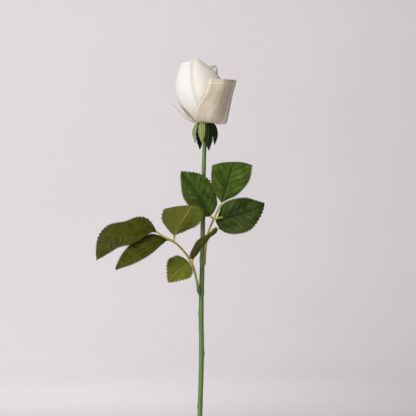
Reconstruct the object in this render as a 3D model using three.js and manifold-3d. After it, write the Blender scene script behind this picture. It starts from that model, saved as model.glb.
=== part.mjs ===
// A single white rose with two leaves, standing in a plain bud vase.
// Millimetres, +Z up. The origin is the middle of the vase's underside, and -Y is the front.
import * as THREE from 'three';
import { mergeVertices } from 'three/addons/utils/BufferGeometryUtils.js';
import Module from 'manifold-3d';

// Driving dimensions
const GAP = 0.3; // left between pieces that touch

const VASE_HEIGHT = 180;
const VASE_BASE_RADIUS = 30;
const VASE_BELLY_RADIUS = 37;
const VASE_NECK_RADIUS = 10.6;
const VASE_BORE_RADIUS = 7.5;
const VASE_FLOOR = 6;
const VASE_WALL = 3.6;
const VASE_FACETS = 40;

const STEM_FOOT_RADIUS = 2.6;
const STEM_TOP_RADIUS = 2.1;
const STEM_TOP = 490;

const CALYX_TOP = 506;
const CALYX_X = 11.1;
const CALYX_RADIUS = 9;

const BUD_HEIGHT = 66; // of the egg shape that the petals follow, above the calyx
const BUD_LEAN = 0.155; // how far the bud leans to the left for each millimetre of height
const PETAL_THICKNESS = 0.5;
const PETAL_FOOT = GAP + PETAL_THICKNESS / 2; // the foot of a petal's middle surface, above the calyx
const SEPAL_THICKNESS = 0.6;
const LEAFLET_THICKNESS = 0.6;
const LEAF_STALK_RADIUS = 1.3;
const SHEATH_RADIUS = 1.8;

const point = (x, y, z) => new THREE.Vector3(x, y, z);
const degrees = THREE.MathUtils.degToRad;
const { lerp, clamp, smoothstep } = THREE.MathUtils;

function curveThrough(points) {
  return new THREE.CatmullRomCurve3(points.map((p) => point(...p)), false, 'centripetal');
}

// Reads a smooth value between evenly spaced ones, at a share of the way from 0 to 1.
function smoothValue(values, share) {
  return new THREE.SplineCurve(values.map((value, i) => new THREE.Vector2(i, value))).getPoint(share).y;
}

// Materials
const finish = (color, roughness) => new THREE.MeshStandardMaterial({ color, roughness, metalness: 0 });
const glaze = finish('#e9e4da', 0.35);
const stemGreen = finish('#70894c', 0.5);
const stalkGreen = finish('#8a8a3a', 0.5);
const upperLeafGreen = finish('#33502a', 0.5);
const lowerLeafGreen = finish('#4a5420', 0.5);
const sepalGreen = finish('#5c7338', 0.7);
const petalWhite = finish('#ece6dc', 0.85);

const rose = new THREE.Group();

function addPiece(parent, name, geometry, material) {
  const mesh = new THREE.Mesh(geometry, material);
  mesh.name = name;
  parent.add(mesh);
  return mesh;
}

// A thin sheet: one flat layer of a box, bent onto surface(u, v). u runs from -1 to 1 across it and
// v from 0 to 1 along it. Half the thickness lies on each side.
function bentSheet(surface, thickness, across, along) {
  const geometry = new THREE.BoxGeometry(2, 1, thickness, across, along, 1);
  const position = geometry.attributes.position;
  const step = 0.01;
  for (let i = 0; i < position.count; i++) {
    const u = position.getX(i);
    const v = position.getY(i) + 0.5;
    const acrossDirection = surface(Math.min(u + step, 1), v).sub(surface(Math.max(u - step, -1), v));
    const alongDirection = surface(u, Math.min(v + step, 1)).sub(surface(u, Math.max(v - step, 0)));
    const outward = acrossDirection.cross(alongDirection).normalize();
    const place = surface(u, v).addScaledVector(outward, position.getZ(i));
    position.setXYZ(i, place.x, place.y, place.z);
  }
  geometry.deleteAttribute('uv');
  geometry.computeVertexNormals();
  return geometry;
}

// A round rod along a curve. radiusAt gives its radius at each share of the way.
function roundRod(curve, radiusAt, steps, sides) {
  const circle = new THREE.Shape().absarc(0, 0, 1, 0, 2 * Math.PI);
  // An arc is divided into twice as many parts as curveSegments says.
  const options = { steps, curveSegments: sides / 2, extrudePath: curve };
  const geometry = new THREE.ExtrudeGeometry(circle, options);
  const centres = curve.getSpacedPoints(steps);
  const position = geometry.attributes.position;
  const corner = new THREE.Vector3();
  for (let i = 0; i < position.count; i++) {
    corner.fromBufferAttribute(position, i);
    let nearest = 0;
    centres.forEach((centre, k) => {
      if (centre.distanceTo(corner) < centres[nearest].distanceTo(corner)) nearest = k;
    });
    corner.sub(centres[nearest]).multiplyScalar(radiusAt(nearest / steps)).add(centres[nearest]);
    position.setXYZ(i, corner.x, corner.y, corner.z);
  }
  geometry.deleteAttribute('uv');
  geometry.computeVertexNormals();
  return geometry;
}

// Joins closed geometries into one solid.
const wasm = await Module();
wasm.setup();

function solidOf(geometry) {
  const bare = new THREE.BufferGeometry().setAttribute('position', geometry.attributes.position);
  if (geometry.index) bare.setIndex(geometry.index);
  const merged = mergeVertices(bare, 1e-4);
  const vertProperties = merged.attributes.position.array;
  const triVerts = new Uint32Array(merged.index.array);
  return new wasm.Manifold(new wasm.Mesh({ numProp: 3, vertProperties, triVerts }));
}

function joined(geometries) {
  const whole = geometries.map(solidOf).reduce((sum, solid) => sum.add(solid));
  const mesh = whole.getMesh();
  const geometry = new THREE.BufferGeometry();
  geometry.setAttribute('position', new THREE.BufferAttribute(new Float32Array(mesh.vertProperties), 3));
  geometry.setIndex(new THREE.BufferAttribute(new Uint32Array(mesh.triVerts), 1));
  geometry.computeVertexNormals();
  return geometry;
}

// A shape turned about the upright axis. Its profile holds radii and heights, from the bottom up.
function turned(profile, facets) {
  return new THREE.LatheGeometry(profile, facets).rotateX(Math.PI / 2);
}

// Bud vase: a turned bottle shape with a round belly, a slim neck and an open rolled mouth.
function budVase() {
  const outside = new THREE.SplineCurve([
    new THREE.Vector2(VASE_BASE_RADIUS + 2, 2),
    new THREE.Vector2(VASE_BELLY_RADIUS - 1.5, 16),
    new THREE.Vector2(VASE_BELLY_RADIUS, 36),
    new THREE.Vector2(VASE_BELLY_RADIUS - 4, 64),
    new THREE.Vector2(VASE_BELLY_RADIUS - 13, 90),
    new THREE.Vector2(VASE_NECK_RADIUS + 4.5, 114),
    new THREE.Vector2(VASE_NECK_RADIUS + 0.4, 135),
    new THREE.Vector2(VASE_NECK_RADIUS, 155),
    new THREE.Vector2(VASE_NECK_RADIUS + 1.8, VASE_HEIGHT - 2),
  ]).getPoints(14);
  const inside = new THREE.SplineCurve([
    new THREE.Vector2(VASE_BORE_RADIUS + 2.4, VASE_HEIGHT - 0.6),
    new THREE.Vector2(VASE_BORE_RADIUS, VASE_HEIGHT - 7),
    new THREE.Vector2(VASE_BORE_RADIUS, 140),
    new THREE.Vector2(VASE_NECK_RADIUS + 0.4, 114),
    new THREE.Vector2(VASE_BELLY_RADIUS - 13 - VASE_WALL, 88),
    new THREE.Vector2(VASE_BELLY_RADIUS - 4 - VASE_WALL, 62),
    new THREE.Vector2(VASE_BELLY_RADIUS - VASE_WALL, 36),
    new THREE.Vector2(VASE_BELLY_RADIUS - 2 - VASE_WALL, 18),
    new THREE.Vector2(VASE_BASE_RADIUS - 5, VASE_FLOOR + 1),
  ]).getPoints(14);
  const rimTop = new THREE.Vector2(VASE_BORE_RADIUS + 3.6, VASE_HEIGHT);
  const underside = [new THREE.Vector2(0, 0), new THREE.Vector2(VASE_BASE_RADIUS, 0)];
  const floor = [new THREE.Vector2(VASE_BASE_RADIUS - 12, VASE_FLOOR), new THREE.Vector2(0, VASE_FLOOR)];
  return turned([...underside, ...outside, rimTop, ...inside, ...floor], VASE_FACETS);
}
addPiece(rose, 'bud_vase', budVase(), glaze);

// Stem: stands on the vase's floor and leans on the right of its bore. It has small knots where
// the leaves grow and where old leaves were.
const STEM_FOOT_Z = VASE_FLOOR + GAP + 0.1;
const STEM_ROUTE = [
  [2.2, 0, STEM_FOOT_Z],
  [VASE_BORE_RADIUS - STEM_FOOT_RADIUS - GAP, 0, VASE_HEIGHT - 4],
  [7.0, 0, 267],
  [6.6, 0, 305],
  [7.7, 0, 360],
  [8.0, 0, 378],
  [8.8, 0, 430],
  [9.7, 0, 470],
  [CALYX_X - 0.6, 0, STEM_TOP],
];
const STEM_KNOTS = [
  { z: 212, swell: 0.35 },
  { z: 267, swell: 0.45 },
  { z: 309, swell: 0.35 },
  { z: 330, swell: 0.3 },
  { z: 364, swell: 0.7 },
];
const KNOT_HALF_LENGTH = 5;
const TAPER_START = 350; // the stem is even below this height
const stemCurve = curveThrough(STEM_ROUTE);

function stemRadius(share) {
  const z = stemCurve.getPointAt(share).z;
  const slender = Math.max(0, (z - TAPER_START) / (STEM_TOP - TAPER_START));
  let radius = lerp(STEM_FOOT_RADIUS, STEM_TOP_RADIUS, slender);
  STEM_KNOTS.forEach((knot) => {
    radius += knot.swell * Math.exp(-(((z - knot.z) / KNOT_HALF_LENGTH) ** 2));
  });
  return radius;
}
addPiece(rose, 'stem', roundRod(stemCurve, stemRadius, 84, 10), stemGreen);

// Leaf stalks: a main stalk that thickens to a sheath at the stem, with a short side stalk to each
// side leaflet. A leaflet starts GAP beyond the end of its stalk.
const UPPER_STALK = [
  [9.8, -4.8, 360],
  [10.6, -5.4, 369],
  [12, -6.5, 381],
  [14.5, -8.5, 393],
  [19.6, -11.5, 405.5],
  [23.6, -13, 414],
  [27.6, -14.8, 422],
];
const UPPER_SIDE_STALKS = [
  [[19.6, -11.5, 405.5], [17.6, -12, 407], [15.8, -12, 408.3]],
  [[19.6, -11.5, 405.5], [24, -12.9, 406.6], [28.8, -13.2, 407.3]],
];
const LOWER_STALK = [
  [4.1, -4.2, 330],
  [2.9, -4.9, 338],
  [0, -7, 351],
  [-3.4, -10.5, 361],
  [-13.4, -20, 375.5],
  [-22.2, -28, 383.3],
  [-31.4, -33.5, 388],
  [-38, -37, 393],
];
const LOWER_SIDE_STALKS = [
  [[-3.4, -10.5, 361], [-4.6, -10.9, 361.4], [-5.4, -11.2, 361.3]],
  [[-3.4, -10.5, 361], [-2.2, -11.6, 362.4], [-1.4, -12.2, 364.4]],
  [[-22.2, -28, 383.3], [-25, -28.6, 384.2], [-27.5, -29, 384.6]],
  [[-22.2, -28, 383.3], [-20.8, -29.4, 385], [-20.2, -30.6, 388.3]],
];
const SHEATH_LENGTH = 0.16; // as a share of the stalk
const STALK_TAPER = 0.3; // how much thinner the stalk is at its tip
const SIDE_STALK_RADIUS = 0.75 * LEAF_STALK_RADIUS;

function leafStalk(main, sides) {
  const mainRadius = (share) => {
    const sheath = (SHEATH_RADIUS - LEAF_STALK_RADIUS) * Math.exp(-((share / SHEATH_LENGTH) ** 2));
    return LEAF_STALK_RADIUS + sheath - STALK_TAPER * share;
  };
  const mainRod = roundRod(curveThrough(main), mainRadius, 24, 8);
  const sideRods = sides.map((side) => roundRod(curveThrough(side), () => SIDE_STALK_RADIUS, 3, 8));
  return joined([mainRod, ...sideRods]);
}
addPiece(rose, 'upper_leaf_stalk', leafStalk(UPPER_STALK, UPPER_SIDE_STALKS), stalkGreen);
addPiece(rose, 'lower_leaf_stalk', leafStalk(LOWER_STALK, LOWER_SIDE_STALKS), stalkGreen);

// Leaflets: oval blades with a pointed tip, folded a little along the midrib. A blade lies square to
// its own midrib, then turns about it. across is the direction from its left edge to its right one
// before it turns. left and right are its widths on both sides of the midrib, evenly spaced from the
// base to the tip. turn, in degrees, and fold, a slope, hold their values at the base and at the tip.
const LEAFLETS = [
  {
    name: 'upper_leaf_tip',
    midrib: [
      [27.9, -15, 422.6],
      [33, -18, 440],
      [38.2, -20, 457],
      [43.2, -21.5, 473],
      [47.6, -22.5, 490],
    ],
    across: [0.99, 0, 0.1],
    left: [4, 14.1, 19, 19.2, 15, 0],
    right: [3, 13.3, 19.1, 18, 12, 0],
    turn: [12, 4],
    fold: [0.14, 0.02],
    crest: 463.6,
    material: upperLeafGreen,
  },
  {
    name: 'upper_leaf_left',
    midrib: [
      [15.5, -12.3, 408.8],
      [11, -11.8, 416.8],
      [6.5, -11.4, 425.9],
      [0.2, -11, 436.2],
      [-6.3, -10, 444.5],
      [-14.1, -9, 454.5],
    ],
    across: [0.85, 0, 0.53],
    left: [8, 12.5, 15.7, 14.8, 8.3, 0],
    right: [9, 13.6, 16.2, 16.4, 11.8, 0],
    turn: [20, 28],
    fold: [0.2, 0.1],
    material: upperLeafGreen,
  },
  {
    name: 'upper_leaf_right',
    midrib: [
      [22.1, -8.8, 403.1],
      [30.1, -10.2, 404.7],
      [41.4, -12.8, 408.3],
      [52.6, -15, 411.8],
      [62.7, -16.5, 415.8],
      [71.3, -16, 421.6],
    ],
    across: [0.2, 0, -0.98],
    left: [1, 13.6, 17.3, 17, 12.2, 0],
    right: [7.8, 14.7, 17.3, 16.3, 8.9, 0],
    baseRounding: 0.04,
    turn: [14, 18],
    fold: [0.16, 0.1],
    material: upperLeafGreen,
  },
  {
    name: 'lower_leaf_tip',
    midrib: [
      [-38.6, -37.3, 393.2],
      [-48.4, -39.5, 395.3],
      [-62.3, -42, 393.3],
      [-75.1, -44.5, 389.9],
      [-87.8, -46.5, 382.5],
      [-97.4, -47, 365],
    ],
    across: [0.1, 0, 0.99],
    left: [0.8, 8.6, 13.5, 11.4, 9.8, 0],
    right: [5.5, 12.7, 11.1, 12.8, 6.7, 0],
    turn: [36, 24],
    fold: [0.14, 0.06],
    material: lowerLeafGreen,
  },
  {
    name: 'lower_leaf_outer_left',
    midrib: [
      [-28, -29.3, 384.8],
      [-36.4, -38, 382.4],
      [-45, -45, 377.1],
      [-58.7, -53, 368.7],
      [-69.1, -57.5, 362.1],
      [-77.2, -60, 356.8],
    ],
    across: [-0.5, 0, 0.86],
    left: [0.6, 4.5, 7, 7.1, 6.1, 0],
    right: [6.5, 12.1, 13.9, 12.3, 7.8, 0],
    turn: [38, 34],
    fold: [0.16, 0.1],
    material: lowerLeafGreen,
  },
  {
    name: 'lower_leaf_outer_right',
    midrib: [
      [-20, -30.9, 388.8],
      [-15.5, -33, 398.2],
      [-9.9, -36, 407.3],
      [-5.1, -37.5, 415],
      [-0.5, -38.7, 423],
      [4.5, -39.5, 431.5],
    ],
    across: [0.94, 0, -0.1],
    left: [14.5, 21.2, 21.7, 20, 13.9, 0],
    right: [0, 6.8, 13, 14, 8.9, 0],
    turn: [-16, -12],
    fold: [-0.35, -0.1],
    crest: 419.2,
    material: lowerLeafGreen,
  },
  {
    name: 'lower_leaf_inner_left',
    midrib: [
      [-5.9, -11.5, 360.9],
      [-10.8, -17, 357.5],
      [-17, -24, 352.9],
      [-22.7, -29, 347.1],
      [-26.3, -31.5, 342.2],
    ],
    across: [-0.67, 0, 0.74],
    left: [3.5, 9.6, 12.7, 11.6, 7.3, 0],
    right: [12.5, 13.5, 14.5, 11.6, 5.5, 0],
    turn: [20, 16],
    fold: [0.1, 0.06],
    material: lowerLeafGreen,
  },
  {
    name: 'lower_leaf_inner_right',
    midrib: [[-1.2, -12.6, 364.8], [2.8, -18, 375.5], [11.7, -22.5, 385.8], [23.1, -25, 396]],
    across: [0.78, 0, -0.62],
    left: [6, 11.2, 15.3, 15.1, 10.6, 0],
    right: [0.5, 5.4, 7.2, 6.5, 4.5, 0],
    turn: [72, 66],
    fold: [0.14, 0.1],
    material: lowerLeafGreen,
  },
];
const POINT_WIDTH = 0.3; // half the width of a blade's point
const BASE_ROUNDING = 0.16; // the share of a blade's length along which its base rounds

function blade({ midrib, across, left, right, turn, fold, baseRounding = BASE_ROUNDING }) {
  const curve = curveThrough(midrib);
  const rightward = point(...across).normalize();
  return (u, v) => {
    const alongDirection = curve.getTangentAt(v);
    const side = rightward.clone();
    side.addScaledVector(alongDirection, -rightward.dot(alongDirection)).normalize();
    side.applyAxisAngle(alongDirection, degrees(lerp(turn[0], turn[1], v)));
    const up = side.clone().cross(alongDirection);
    const rounded = Math.sqrt(1 - (1 - Math.min(v / baseRounding, 1)) ** 2);
    const width = POINT_WIDTH + Math.max(smoothValue(u < 0 ? left : right, v), 0) * rounded;
    const off = u * width;
    const lift = lerp(fold[0], fold[1], v) * Math.abs(off);
    return curve.getPointAt(v).addScaledVector(side, off).addScaledVector(up, lift);
  };
}

// Bends a blade's upper part back over a crest at this height, which drops towards the edges.
const BEND_RADIUS = 3;
const BEND_ANGLE = degrees(115);
const CREST_DROP = 3.2;

function bentBack(surface, crest) {
  return (u, v) => {
    const place = surface(u, v);
    const over = Math.max(place.z - (crest - CREST_DROP * Math.abs(u) ** 3 - BEND_RADIUS), 0);
    const turnedBy = Math.min(over / BEND_RADIUS, BEND_ANGLE);
    const rest = over - turnedBy * BEND_RADIUS;
    place.y += BEND_RADIUS * (1 - Math.cos(turnedBy)) + rest * Math.sin(BEND_ANGLE);
    place.z += BEND_RADIUS * Math.sin(turnedBy) + rest * Math.cos(BEND_ANGLE) - over;
    return place;
  };
}

LEAFLETS.forEach((leaflet) => {
  const flat = blade(leaflet);
  const isBent = leaflet.crest !== undefined;
  const surface = isBent ? bentBack(flat, leaflet.crest) : flat;
  const sheet = bentSheet(surface, LEAFLET_THICKNESS, 8, isBent ? 32 : 14);
  addPiece(rose, leaflet.name, sheet, leaflet.material);
});

// Everything of the flower is placed from the middle of the calyx's rim.
const flower = new THREE.Group();
flower.position.set(CALYX_X, 0, CALYX_TOP);
rose.add(flower);

// Calyx: the green cup that the stem's top enters and the petals stand on.
const calyxDepth = CALYX_TOP - STEM_TOP - GAP;
const calyxProfile = [
  [0, -calyxDepth],
  [3.2, -calyxDepth],
  [5.2, -11],
  [7.4, -6.5],
  [8.6, -3],
  [CALYX_RADIUS, -0.8],
  [CALYX_RADIUS - 0.4, 0],
  [0, 0],
];
const calyxPoints = calyxProfile.map(([r, z]) => new THREE.Vector2(r, z));
addPiece(flower, 'calyx', turned(calyxPoints, 24), sepalGreen);

// Sepals: pointed strips that grow from the calyx's rim, arch outwards and hang around the stem.
const SEPALS = [
  { name: 'sepal_left', angle: 203, length: 22, reach: 4.0, width: 9.5 },
  { name: 'sepal_front', angle: 249, length: 22.5, reach: 2.0, width: 7.5 },
  { name: 'sepal_right_front', angle: 292, length: 30, reach: 0.3, width: 10.5 },
  { name: 'sepal_right', angle: 331, length: 24, reach: 3.0, width: 11.5 },
  { name: 'sepal_back', angle: 128, length: 28, reach: 1.2, width: 11 },
];
const SEPAL_OUTLINE = [0.6, 0.93, 0.98, 0.8, 0.45, 0]; // shares of its half width, base to tip
SEPALS.forEach(({ name, angle, length, reach, width }) => {
  const rim = CALYX_RADIUS + SEPAL_THICKNESS / 2 + GAP;
  const outAt = (r, z) => [r * Math.cos(degrees(angle)), r * Math.sin(degrees(angle)), z];
  const widths = SEPAL_OUTLINE.map((share) => (share * width) / 2);
  const strip = blade({
    midrib: [
      outAt(rim, -1.6),
      outAt(rim + reach * 0.7, -length * 0.25),
      outAt(rim + reach, -length * 0.6),
      outAt(rim + reach * 0.7 - 1, -length),
    ],
    across: [Math.sin(degrees(angle)), -Math.cos(degrees(angle)), 0],
    left: widths,
    right: widths,
    turn: [0, 0],
    fold: [-0.25, -0.25],
  });
  addPiece(flower, name, bentSheet(strip, SEPAL_THICKNESS, 4, 8), sepalGreen);
});

// The petals that wrap the bud follow an egg shape about an axis that leans to the left. claw is the
// petal's radius where it stands on the calyx, belly is what it gains by its middle.
function eggRadius(height, tall, claw, belly) {
  const share = clamp(height / tall, 0, 1);
  return claw * (1 - share) ** 0.35 + belly * Math.sin(Math.PI * share ** 0.96) ** 0.7;
}

// middle and half are the petal's direction and half its spread, in degrees, and waist is the share
// of that spread at its foot. top holds heights across its top edge, and flare how far that edge leans
// out before it curls over and down. Its right edge lies outside its left one by twice the lap, which
// holds values for the foot and the top, so that each petal tucks under the next one.
const FULL_SPREAD = 0.55; // the share of its length where a petal reaches its full spread
const LAP_HEIGHT = 20; // the height from which the top's lap holds
const FLARE_START = 40; // the height where a flare begins
const FLARE_END = 60; // the height where it is full
const CURL_START = 0.8; // the shares of a petal's length where its curl begins and would end
const CURL_END = 1.1;
const EGG_DROP = 1.6; // how far the egg shape shifts down, and a curl hangs, for each mm of flare
const CURL_DROP = 1.2;
const CURL_REACH = 0.8; // how much further a curl stands out, as a share of the flare

function wrappingPetal({ middle, half, waist, tall, claw, belly, top, flare, lap }) {
  return (u, v) => {
    const across = (u + 1) / 2;
    const height = PETAL_FOOT + (smoothValue(top, across) - PETAL_FOOT) * v;
    const narrowing = lerp(waist, 1, smoothstep(v, 0, FULL_SPREAD));
    const angle = degrees(middle + u * half * narrowing);
    const tuck = u * lerp(lap[0], lap[1], smoothstep(height, 0, LAP_HEIGHT));
    const lean = smoothValue(flare, across) * smoothstep(height, FLARE_START, FLARE_END);
    const curled = smoothstep(v, CURL_START, CURL_END);
    const egg = eggRadius(height - EGG_DROP * lean, tall, claw, belly);
    const radius = egg + tuck + lean * (1 + CURL_REACH * curled);
    const level = height - CURL_DROP * lean * curled ** 2;
    return point(radius * Math.cos(angle) - BUD_LEAN * level, radius * Math.sin(angle), level);
  };
}

const OUTER = { tall: BUD_HEIGHT, claw: 8.4, belly: 19, lap: [1.3, 1.1] };
const MIDDLE = {
  half: 62,
  waist: 0.42,
  tall: BUD_HEIGHT - 2,
  claw: 6.0,
  belly: 16.2,
  lap: [0.3, 0.9],
  top: [48, 55, 58, 56, 50],
  flare: [0, 0],
};
const INNER = {
  half: 78,
  waist: 0.42,
  tall: BUD_HEIGHT - 3,
  claw: 4.5,
  belly: 12,
  lap: [0.3, 0.8],
  top: [46, 54, 57, 55, 48],
  flare: [0, 0],
};
const WRAPPING_PETALS = [
  {
    name: 'petal_left',
    middle: 174,
    half: 82,
    waist: 1.11,
    top: [50, 55, 58, 61, 62],
    flare: [0, 0.5, 1, 0.5, 0],
    ...OUTER,
  },
  {
    name: 'petal_front',
    middle: 316,
    half: 80,
    waist: 0.92,
    top: [61, 64.5, 63, 49.5, 34],
    flare: [0, 0, -0.5, -1.5, -1.5],
    ...OUTER,
  },
  {
    name: 'petal_back',
    middle: 84,
    half: 79,
    waist: 0.92,
    top: [44, 61, 62.5, 62, 60, 58, 56, 54, 52],
    flare: [-2, 4, 4.6, 4, 3, 2, 1.4, 1, 0.8],
    ...OUTER,
  },
];
for (let i = 0; i < 4; i++) {
  WRAPPING_PETALS.push({ name: `petal_middle_${i + 1}`, middle: 40 + 90 * i, ...MIDDLE });
}
for (let i = 0; i < 3; i++) {
  WRAPPING_PETALS.push({ name: `petal_inner_${i + 1}`, middle: 100 + 120 * i, ...INNER });
}
WRAPPING_PETALS.forEach((petal) => {
  addPiece(flower, petal.name, bentSheet(wrappingPetal(petal), PETAL_THICKNESS, 12, 14), petalWhite);
});

// Heart petal: the innermost one, rolled on itself for more than a turn.
const HEART_HEIGHT = 52;
const HEART_TURNS = 1.35;
const HEART_ROLL_GAP = 2.2;
const HEART_CORE = 0.9; // its radius at the innermost edge
function heartPetal(u, v) {
  const height = PETAL_FOOT + (HEART_HEIGHT - 3 * u - PETAL_FOOT) * v;
  const roll = (u + 1) / 2;
  const swell = Math.sin(Math.PI * v ** 0.9);
  const rolled = HEART_CORE + HEART_ROLL_GAP * HEART_TURNS * roll * (0.6 + 0.4 * swell);
  const radius = rolled * (1 + 0.9 * swell);
  const angle = 2 * Math.PI * HEART_TURNS * roll;
  return point(radius * Math.cos(angle) - BUD_LEAN * height, radius * Math.sin(angle), height);
}
addPiece(flower, 'petal_heart', bentSheet(heartPetal, PETAL_THICKNESS, 20, 5), petalWhite);

// Right petal: opened out from the front of the bud to the right, with its top folded over level.
// Three lines from the calyx upwards shape it: its left edge, its middle ridge and its right edge.
const RIGHT_PETAL_LEFT = [
  [-9.9, -6.1, -0.3],
  [-12, -10.2, 2.5],
  [-12.4, -16.9, 7.7],
  [-9, -23.5, 15],
  [-0.4, -31, 27],
  [3.1, -33, 41],
];
const RIGHT_PETAL_RIDGE = [
  [3, -11, -0.5],
  [4.8, -15, -1.6],
  [6.6, -20, 2.5],
  [11.2, -24.5, 12],
  [16.6, -28.3, 27],
  [19.2, -30.5, 41],
];
const RIGHT_PETAL_RIGHT = [
  [9.6, -1.4, -0.4],
  [15.6, -5, -2.8],
  [21.2, -8, -2.6],
  [24.6, -9.5, 9],
  [28, -11, 25],
  [32.6, -14, 41.6],
];
// How softly the petal bends at its ridge, as a share of each side: at its foot and above it
const RIDGE_WIDTH_AT_FOOT = 0.6;
const RIDGE_WIDTH = 0.14;

function openedPetal(left, ridge, right) {
  const [leftEdge, middle, rightEdge] = [left, ridge, right].map(curveThrough);
  return (u, v) => {
    const soft = lerp(RIDGE_WIDTH_AT_FOOT, RIDGE_WIDTH, smoothstep(v, 0, 0.4));
    const bend = (Math.hypot(u, soft) - soft) / (Math.hypot(1, soft) - soft);
    const place = leftEdge.getPoint(v).multiplyScalar((bend - u) / 2);
    place.addScaledVector(middle.getPoint(v), 1 - bend);
    return place.addScaledVector(rightEdge.getPoint(v), (bend + u) / 2);
  };
}
const rightPetal = openedPetal(RIGHT_PETAL_LEFT, RIGHT_PETAL_RIDGE, RIGHT_PETAL_RIGHT);
addPiece(flower, 'petal_right', bentSheet(rightPetal, PETAL_THICKNESS, 10, 12), petalWhite);

// Low left petal: bent down and out, cupped upwards, so that the front sees it edge-on.
const LOW_PETAL_WIDTHS = [7, 11.5, 14.8, 14, 9.2, 0];
const lowPetal = blade({
  midrib: [[-10.8, 0, -1.5], [-20.8, 0, 3], [-28.4, 0, 11.6], [-36.3, 0, 20]],
  across: [0, -1, 0],
  left: LOW_PETAL_WIDTHS,
  right: LOW_PETAL_WIDTHS,
  turn: [0, 0],
  fold: [-0.3, -0.22],
});
addPiece(flower, 'petal_low_left', bentSheet(lowPetal, PETAL_THICKNESS, 8, 10), petalWhite);

export default rose;
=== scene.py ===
# A single white rose with two leaves, made of pressed cloth and coated wire, standing in a bud vase.
# +Z is up and -Y is the front. The sizes of the rose are written in millimetres, and MM turns them
# into the scene's metres.
from math import pi, radians

import bmesh
import bpy
import numpy as np
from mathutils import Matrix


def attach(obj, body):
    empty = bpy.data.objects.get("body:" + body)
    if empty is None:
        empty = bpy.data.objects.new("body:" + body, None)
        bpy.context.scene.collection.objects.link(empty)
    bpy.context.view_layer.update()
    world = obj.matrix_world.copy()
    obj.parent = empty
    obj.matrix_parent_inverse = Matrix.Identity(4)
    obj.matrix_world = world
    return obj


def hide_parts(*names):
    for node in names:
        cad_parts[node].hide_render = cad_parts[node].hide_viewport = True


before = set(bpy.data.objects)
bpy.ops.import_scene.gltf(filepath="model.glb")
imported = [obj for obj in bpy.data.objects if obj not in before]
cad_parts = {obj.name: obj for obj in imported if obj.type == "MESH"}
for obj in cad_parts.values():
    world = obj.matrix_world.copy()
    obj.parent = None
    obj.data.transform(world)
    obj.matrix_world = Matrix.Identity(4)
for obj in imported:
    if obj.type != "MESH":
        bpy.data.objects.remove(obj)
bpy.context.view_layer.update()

MM = 0.001


# Camera: level with the leaves and straight in front, as the photograph was taken, with a long lens
# that keeps the stem and the bud in true proportion.
camera_data = bpy.data.cameras.new("camera")
camera_data.lens = 100
camera_data.sensor_width = 36
camera = bpy.data.objects.new("camera", camera_data)
camera.location = (0.0137, -1.197, 0.4168)
camera.rotation_euler = (radians(90), 0, 0)
bpy.context.scene.collection.objects.link(camera)
bpy.context.scene.camera = camera
bpy.context.scene.view_settings.view_transform = "Standard"


# Studio: a seamless sheet of pale mauve-grey paper lies under the vase and curves up all round it.
# A large soft light stands at the left, and weaker ones fill the shade and brighten the paper.
PAPER_FLOOR_RADIUS = 1.7
PAPER_CURVE_RADIUS = 1.1
PAPER_HEIGHT = 2.4
PAPER_LEVEL = -0.0002


def colour(red, green, blue):
    """A colour as it looks on a screen, each from 0 to 255, as the values that a shader takes."""
    shares = np.array([red, green, blue]) / 255
    linear = np.where(shares <= 0.04045, shares / 12.92, ((shares + 0.055) / 1.055) ** 2.4)
    return (*linear.tolist(), 1.0)


def start_finish(name):
    """A new material, its node tree and its surface shader."""
    finish = bpy.data.materials.new(name)
    finish.use_nodes = True
    return finish, finish.node_tree, finish.node_tree.nodes["Principled BSDF"]


def set_sockets(shader, **values):
    """Sets a shader's sockets, whose names are written with _ for each space."""
    for name, value in values.items():
        shader.inputs[name.replace("_", " ")].default_value = value


def feed(tree, socket, value):
    """Gives a socket a number or a colour, or the output of another node."""
    if isinstance(value, bpy.types.NodeSocket):
        tree.links.new(value, socket)
    else:
        socket.default_value = value


def sum_of(tree, operation, first, second, third=0.0):
    """The result of a sum on two or three values."""
    made = tree.nodes.new("ShaderNodeMath")
    made.operation = operation
    for socket, value in zip(made.inputs, (first, second, third)):
        feed(tree, socket, value)
    return made.outputs[0]


def fade(tree, value, low, high):
    """0 where the value is at or under low, 1 where it is at or over high, and smooth between."""
    made = tree.nodes.new("ShaderNodeMapRange")
    made.interpolation_type = "SMOOTHSTEP"
    feed(tree, made.inputs["Value"], value)
    made.inputs["From Min"].default_value = low
    made.inputs["From Max"].default_value = high
    return made.outputs["Result"]


def mixed(tree, share, first, second):
    """The first colour, with this share of the second one."""
    made = tree.nodes.new("ShaderNodeMix")
    made.data_type = "RGBA"
    feed(tree, made.inputs[0], share)
    feed(tree, made.inputs[6], first)
    feed(tree, made.inputs[7], second)
    return made.outputs[2]


def places(tree, kind="Object"):
    """Where each point of the surface lies."""
    return tree.nodes.new("ShaderNodeTexCoord").outputs[kind]


def speckle(tree, where, grain, detail=2.0, stretch=(1, 1, 1)):
    """Soft random patches from 0 to 1, about one grain across. A stretch under 1 lengthens them."""
    sized = tree.nodes.new("ShaderNodeMapping")
    sized.vector_type = "POINT"
    tree.links.new(where, sized.inputs["Vector"])
    sized.inputs["Scale"].default_value = stretch
    made = tree.nodes.new("ShaderNodeTexNoise")
    tree.links.new(sized.outputs["Vector"], made.inputs["Vector"])
    made.inputs["Scale"].default_value = 1 / grain
    made.inputs["Detail"].default_value = detail
    return made.outputs["Fac"]


def bumped(tree, height, depth):
    """A surface direction that follows a height from 0 to 1, which stands for this depth."""
    made = tree.nodes.new("ShaderNodeBump")
    made.inputs["Distance"].default_value = depth
    tree.links.new(height, made.inputs["Height"])
    return made.outputs["Normal"]


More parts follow.
